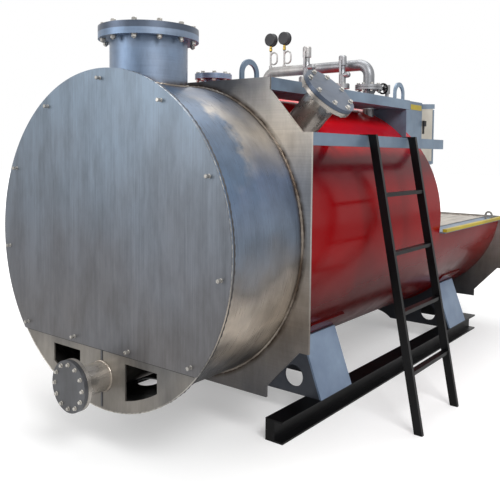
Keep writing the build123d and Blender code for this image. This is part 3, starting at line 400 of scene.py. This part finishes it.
def wall(builder, low, high):
    """Side faces between two closed loops of corners."""
    count = len(low)
    for step in range(count):
        following = (step + 1) % count
        builder.faces.new((low[step], low[following], high[following], high[step]))


def turned(builder, base, axis, profile, sides, phase=0.0):
    """A closed turned shape: profile is (radius, height) pairs from the foot's rim to the top's rim."""
    axis = axis.normalized()
    first = axis.orthogonal().normalized()
    second = axis.cross(first)
    rings = []
    for radius, height in profile:
        ring = []
        for step in range(sides):
            angle = 2 * math.pi * step / sides + phase
            offset = (math.cos(angle) * first + math.sin(angle) * second) * radius
            ring.append(builder.verts.new(base + offset + axis * height))
        rings.append(ring)
    for low, high in zip(rings, rings[1:]):
        wall(builder, low, high)
    builder.faces.new(list(reversed(rings[0])))
    builder.faces.new(rings[-1])


def bolt(builder, base, axis, radius, height, washer=True):
    """Hexagon head with a bevelled top on a thin washer."""
    rise = 0.0
    if washer:
        rise = radius * 0.18
        rim = radius * 1.22
        turned(builder, base, axis, ((rim, 0), (rim, rise * 0.7), (radius * 1.16, rise)), 20)
    turned(builder, base + axis.normalized() * rise, axis,
           ((radius, 0), (radius, height * 0.82), (radius * 0.84, height)), 6, 0.3)


def bolt_circle(builder, centre, axis, across, radius, count, size, height, start=0.0, nut=None):
    """Bolts round a circle; across is the direction of the first one, nut the depth behind to the nuts."""
    axis = axis.normalized()
    across = across.normalized()
    second = axis.cross(across)
    for step in range(count):
        angle = 2 * math.pi * step / count + start
        at = centre + (math.cos(angle) * across + math.sin(angle) * second) * radius
        bolt(builder, at, axis, size, height)
        if nut is not None:
            bolt(builder, at - axis * nut, -axis, size, height * 1.1)
            turned(builder, at - axis * (nut + height * 1.2), -axis,
                   ((size * 0.5, 0), (size * 0.5, height * 0.35), (size * 0.4, height * 0.45)), 12)


# Cover screws: nine round the rim and two over the lower cover
SCREW_CIRCLE = 754
SCREW_STEP = math.radians(32.27)
SHANK_LENGTH = 0.016
LOW_SCREWS = ((-197, -485), (197, -485))


def cover_screw(builder, base):
    """A shank standing out of the cover with its head at the end."""
    turned(builder, base, -X, ((0.0090, 0), (0.0090, 0.002), (0.0075, 0.0025), (0.0075, SHANK_LENGTH)), 14)
    bolt(builder, base - X * SHANK_LENGTH, -X, 0.0092, 0.008, washer=False)


builder = bmesh.new()
for step in range(-4, 5):
    angle = SCREW_STEP * step
    cover_screw(builder, spot(0, SCREW_CIRCLE * math.sin(angle), SCREW_CIRCLE * math.cos(angle)))
for across, height in LOW_SCREWS:
    cover_screw(builder, spot(0, across, height))
finish_piece("cover_screws", builder, bolt_steel, smooth=False)

# Flange bolts: flue, drain, side branch, hatch, steam nozzle and the two valve bases
FLUE_ALONG = 300
FLUE_FACE_UP = 1021
DRAIN_UP = -640
DRAIN_FACE = -178
SIDE_ALONG = 806
SIDE_LEAN = math.radians(45.5)
SIDE_REACH = 1044
HATCH_ALONG = 775
HATCH_FACE_UP = 850
STEAM_FACE = (2000, -309, 888)
VALVE_ALONGS = (1465, 1900)
VALVE_ACROSS = -160
VALVE_FACE_UP = 894
side_out = Vector((0, -math.sin(SIDE_LEAN), math.cos(SIDE_LEAN)))
side_face = spot(SIDE_ALONG, -SIDE_REACH * math.sin(SIDE_LEAN), SIDE_REACH * math.cos(SIDE_LEAN))
builder = bmesh.new()
bolt_circle(builder, spot(FLUE_ALONG, 0, FLUE_FACE_UP), Z, X,
            radius=0.2225, count=12, size=0.013, height=0.013, nut=0.060)
bolt_circle(builder, spot(DRAIN_FACE, 0, DRAIN_UP), -X, Y,
            radius=0.100, count=12, size=0.0082, height=0.009, nut=0.038)
bolt_circle(builder, side_face, side_out, X,
            radius=0.126, count=8, size=0.0112, height=0.011, start=math.radians(8), nut=0.042)
bolt_circle(builder, spot(HATCH_ALONG, 0, HATCH_FACE_UP), Z, X,
            radius=0.085, count=8, size=0.011, height=0.010, nut=0.028)
bolt_circle(builder, spot(*STEAM_FACE), Z, X,
            radius=0.0725, count=8, size=0.011, height=0.010, nut=0.034)
for along in VALVE_ALONGS:
    bolt_circle(builder, spot(along, VALVE_ACROSS, VALVE_FACE_UP), Z, X,
                radius=0.038, count=4, size=0.0065, height=0.006, start=math.radians(45))
finish_piece("flange_bolts", builder, bolt_steel, smooth=False)

# Weld beads: flats round a bead, steps round a ring, places of the rings, and the surfaces that branch
# beads lie on
BEAD_SIDES = 8
RING_STEPS = 480
RING_WELD_R = 760
DRUM_PLATE_ALONG = 555
RING_DRUM_ALONG = 18
RIM_SEAM_ALONG = 23.5
RIM_SEAM_R = 791
COVER_RIM_ALONG = 8
COVER_RIM_R = 798
DRUM_SURFACE_R = 759
SHELL_SURFACE_R = 757
DRAIN_WELD_R = 71.5
DRAIN_WELD_STEPS = 90


def weld(name, points, radius, material=weld_steel):
    """Rippled bead along a closed line of points."""
    builder = bmesh.new()
    rings = []
    for step, at in enumerate(points):
        ahead = points[(step + 1) % len(points)]
        along = (ahead - points[step - 1]).normalized()
        runs_along_x = abs(along.x) > 0.9
        first = (along.orthogonal() if runs_along_x else along.cross(X)).normalized()
        second = along.cross(first)
        size = radius * (1 + 0.16 * math.sin(step * 1.9) + 0.08 * math.sin(step * 0.73))
        ring = []
        for side in range(BEAD_SIDES):
            angle = 2 * math.pi * side / BEAD_SIDES
            ring.append(builder.verts.new(at + (math.cos(angle) * first + math.sin(angle) * second) * size))
        rings.append(ring)
    for low, high in zip(rings, rings[1:] + rings[:1]):
        wall(builder, low, high)
    bmesh.ops.recalc_face_normals(builder, faces=builder.faces)
    finish_piece(name, builder, material)


def angles(count):
    """Equal steps of one full turn."""
    return [2 * math.pi * step / count for step in range(count)]


def ring_points(along, radius):
    """A circle round the drum's axis."""
    return [spot(along, radius * math.sin(angle), radius * math.cos(angle)) for angle in angles(RING_STEPS)]


def branch_points(along, lean, radius, shell, count):
    """The line where a branch pipe meets a shell; lean is the pipe's angle from upright."""
    outward = -math.sin(lean) * Y + math.cos(lean) * Z
    sideways = math.cos(lean) * Y + math.sin(lean) * Z
    points = []
    for angle in angles(count):
        side = radius * math.sin(angle)
        height = math.sqrt(shell * shell - side * side)
        foot = spot(along + radius * math.cos(angle), 0, 0)
        points.append(foot + (sideways * side + outward * height) / 1000)
    return points


drain_points = [spot(6, DRAIN_WELD_R * math.cos(angle), DRAIN_UP + DRAIN_WELD_R * math.sin(angle))
                for angle in angles(DRAIN_WELD_STEPS)]
weld("weld_drum_plate", ring_points(DRUM_PLATE_ALONG, RING_WELD_R), 0.0068)
weld("weld_ring_drum", ring_points(RING_DRUM_ALONG, RING_WELD_R), 0.0055)
# A dark bead just behind the cover's rim, darkening the line between rim and drum
weld("dark_rim_line", ring_points(RIM_SEAM_ALONG, RIM_SEAM_R), 0.0085, dark_seam_and_shadow)
# A thin bead at the joint of the cover plates and the rim, in bright bolt steel as a painted highlight along
# the cover's edge
weld("cover_rim_highlight_bead", ring_points(COVER_RIM_ALONG, COVER_RIM_R), 0.0024, bolt_steel)
weld("weld_flue", branch_points(FLUE_ALONG, lean=0, radius=191, shell=DRUM_SURFACE_R, count=200), 0.0055)
weld("weld_side_nozzle",
     branch_points(SIDE_ALONG, lean=SIDE_LEAN, radius=85, shell=SHELL_SURFACE_R, count=120), 0.0045)
weld("weld_hatch", branch_points(HATCH_ALONG, lean=0, radius=67, shell=SHELL_SURFACE_R, count=90), 0.004)
weld("weld_drain", drain_points, 0.0045)


def slabs(name, pairs, material, body="boiler"):
    """Plain boxes, each between two opposite corners."""
    builder = bmesh.new()
    for corner, opposite in pairs:
        low = Vector(map(min, corner, opposite))
        high = Vector(map(max, corner, opposite))
        verts = [builder.verts.new((x, y, z))
                 for x in (low.x, high.x) for y in (low.y, high.y) for z in (low.z, high.z)]
        for face in ((0, 1, 3, 2), (4, 6, 7, 5), (0, 4, 5, 1), (2, 3, 7, 6), (0, 2, 6, 4), (1, 5, 7, 3)):
            builder.faces.new([verts[number] for number in face])
    finish_piece(name, builder, material, body, smooth=False)


# Blank plate on the ladder-side column, and the cabinet's foot trim, gland, conduits and lock
NEAR_FACE = -480
slabs("column_plate", ((spot(2306, NEAR_FACE, 775), spot(2486, NEAR_FACE - 1.2, 738)),), yellow_paint)
slabs("cabinet_foot_trim", ((spot(2500, NEAR_FACE, 348), spot(2692, NEAR_FACE - 1.5, 374)),), zinc_plate)
slabs("cabinet_gland", ((spot(2506, NEAR_FACE, 668), spot(2541, NEAR_FACE - 18, 628)),), rubber_black)
slabs("cabinet_conduits", [(spot(along, NEAR_FACE, 628), spot(along + 8, NEAR_FACE - 6, 574))
                           for along in (2510, 2528)], dark_seam_and_shadow)
slabs("cabinet_lock", ((spot(2722, -440, 590), spot(2725, -418, 530)),), zinc_plate,
      body="cabinet_door")

# On the lower cover: a dark strip painted as the shadow under the upper cover's edge, and an upright joint
# with a bar over it, above and below the drain pipe
LOWER_FACE = 8
SEAM_UP = -512
SEAM_HALF = 598
JOINT_SPANS = ((-518, -570), (-712, -786))


def upright_strips(half_width, proud):
    """Corner pairs of the strips above and below the drain pipe."""
    return [(spot(LOWER_FACE, -half_width, top), spot(LOWER_FACE - proud, half_width, foot))
            for top, foot in JOINT_SPANS]


slabs("cover_lip_shadow", ((spot(LOWER_FACE, -SEAM_HALF, SEAM_UP), spot(LOWER_FACE - 1, SEAM_HALF, SEAM_UP - 6)),),
      dark_seam_and_shadow)
slabs("cover_joint", upright_strips(8, 0.6), dark_seam_and_shadow)
slabs("cover_bar", upright_strips(5, 2), flange_steel)

# Gauge dials, read from the platform
GAUGES_ACROSS = (528, 402)
GAUGE_ALONG = 2000
LOWER_NUT_UP = 1186
UPPER_NUT_UP = 1208
DIAL_ALONG = 2016
DIAL_UP = 1269
TICKS = 25
FIRST_TICK = -135
TICK_STEP = 270 / 24
LONG_TICK_EVERY = 4
TICK_OUTER = 0.037
NEEDLE_TURN = -2.2


def prism(builder, corners, depth):
    """A flat outline raised along x."""
    low = [builder.verts.new(corner) for corner in corners]
    high = [builder.verts.new(corner + X * depth) for corner in corners]
    builder.faces.new(list(reversed(low)))
    builder.faces.new(high)
    wall(builder, low, high)


def dial_marks(builder, face):
    """Ticks round the dial, the needle and its hub."""
    for tick in range(TICKS):
        angle = math.radians(FIRST_TICK + tick * TICK_STEP)
        outward = math.sin(angle) * -Y + math.cos(angle) * Z
        sideways = X.cross(outward)
        inner, half = (0.032, 0.0005) if tick % LONG_TICK_EVERY else (0.028, 0.0009)
        foot = face + X * 0.0006
        prism(builder, (foot + outward * inner - sideways * half, foot + outward * inner + sideways * half,
                        foot + outward * TICK_OUTER + sideways * half,
                        foot + outward * TICK_OUTER - sideways * half), 0.0004)
    needle = []
    for swing, reach in ((0, 0.030), (math.pi / 2, 0.0022), (math.pi, 0.010), (-math.pi / 2, 0.0022)):
        angle = NEEDLE_TURN + swing
        needle.append(face + X * 0.0016 + (math.cos(angle) * Z + math.sin(angle) * -Y) * reach)
    prism(builder, needle, 0.0008)
    turned(builder, face + X * 0.001, X, ((0.004, 0), (0.004, 0.002), (0.003, 0.0028)), 16)


for number, across in enumerate(GAUGES_ACROSS):
    face = spot(DIAL_ALONG, across, DIAL_UP)
    builder = bmesh.new()
    turned(builder, face - X * 0.001, X, ((0.0405, 0), (0.0405, 0.0012), (0.040, 0.0016)), 48)
    finish_piece(f"gauge_dial_{number}", builder, dial_white)
    builder = bmesh.new()
    dial_marks(builder, face)
    finish_piece(f"gauge_marks_{number}", builder, black_paint, smooth=False)
    builder = bmesh.new()
    turned(builder, spot(GAUGE_ALONG, across, LOWER_NUT_UP), Z,
           ((0.0125, 0), (0.0125, 0.016), (0.0115, 0.018)), 6)
    turned(builder, spot(GAUGE_ALONG, across, UPPER_NUT_UP), Z,
           ((0.0105, 0), (0.0105, 0.010), (0.0100, 0.012)), 6)
    finish_piece(f"gauge_nuts_{number}", builder, brass, smooth=False)

# Floor, paler away from the object
FLOOR_HALF = 40
PALE_FROM = 2.5
PALE_AT = 6.0
NEAR_GLOW = 0.34
floor_builder = bmesh.new()
bmesh.ops.create_grid(floor_builder, x_segments=1, y_segments=1, size=FLOOR_HALF)
floor_mesh = bpy.data.meshes.new("floor")
floor_builder.to_mesh(floor_mesh)
floor_builder.free()
floor = bpy.data.objects.new("floor", floor_mesh)
bpy.context.scene.collection.objects.link(floor)
paint = Nodes(bpy.data.materials.new("floor_paint"))
reach = paint.add("ShaderNodeVectorMath", Vector=paint.place())
reach.operation = "LENGTH"
seen_by_camera = paint.tree.nodes.new("ShaderNodeLightPath").outputs["Is Camera Ray"]
glow = paint.span(reach.outputs["Value"], PALE_FROM, PALE_AT, NEAR_GLOW, 1.0)
paint.set(Base_Color=(0.72, 0.72, 0.72, 1), Roughness=0.9, Emission_Color=(1, 1, 1, 1),
          Emission_Strength=paint.math("MULTIPLY", glow, seen_by_camera))
floor_mesh.materials.append(paint.owner)

# White surroundings, at full strength where they are seen, mirrored or seen through
DIFFUSE_STRENGTH = 0.55
world = bpy.data.worlds.new("world")
bpy.context.scene.world = world
sky = Nodes(world, "Background")
rays = sky.tree.nodes.new("ShaderNodeLightPath").outputs
seen = sky.math("MAXIMUM", rays["Is Camera Ray"], rays["Is Glossy Ray"])
seen = sky.math("MAXIMUM", seen, rays["Is Transmission Ray"])
sky.set(Color=(1, 1, 1, 1), Strength=sky.span(seen, 0.0, 1.0, DIFFUSE_STRENGTH, 1.0))


def lamp(name, at, target, size, watts):
    """A square soft lamp aimed at a point."""
    light = bpy.data.lights.new(name, "AREA")
    light.shape = "SQUARE"
    light.size = size
    light.energy = watts
    item = bpy.data.objects.new(name, light)
    bpy.context.scene.collection.objects.link(item)
    item.location = at
    item.rotation_euler = (Vector(target) - Vector(at)).to_track_quat("-Z", "Y").to_euler()


lamp("key", at=(-3.5, -5.0, 5.5), target=(0, 0, 1), size=3.0, watts=330)
lamp("fill", at=(-6.0, 2.5, 3.0), target=(-1, 0, 1), size=3.5, watts=110)
lamp("top", at=(0.5, 0.5, 6.5), target=(0, 0, 1), size=4.0, watts=180)
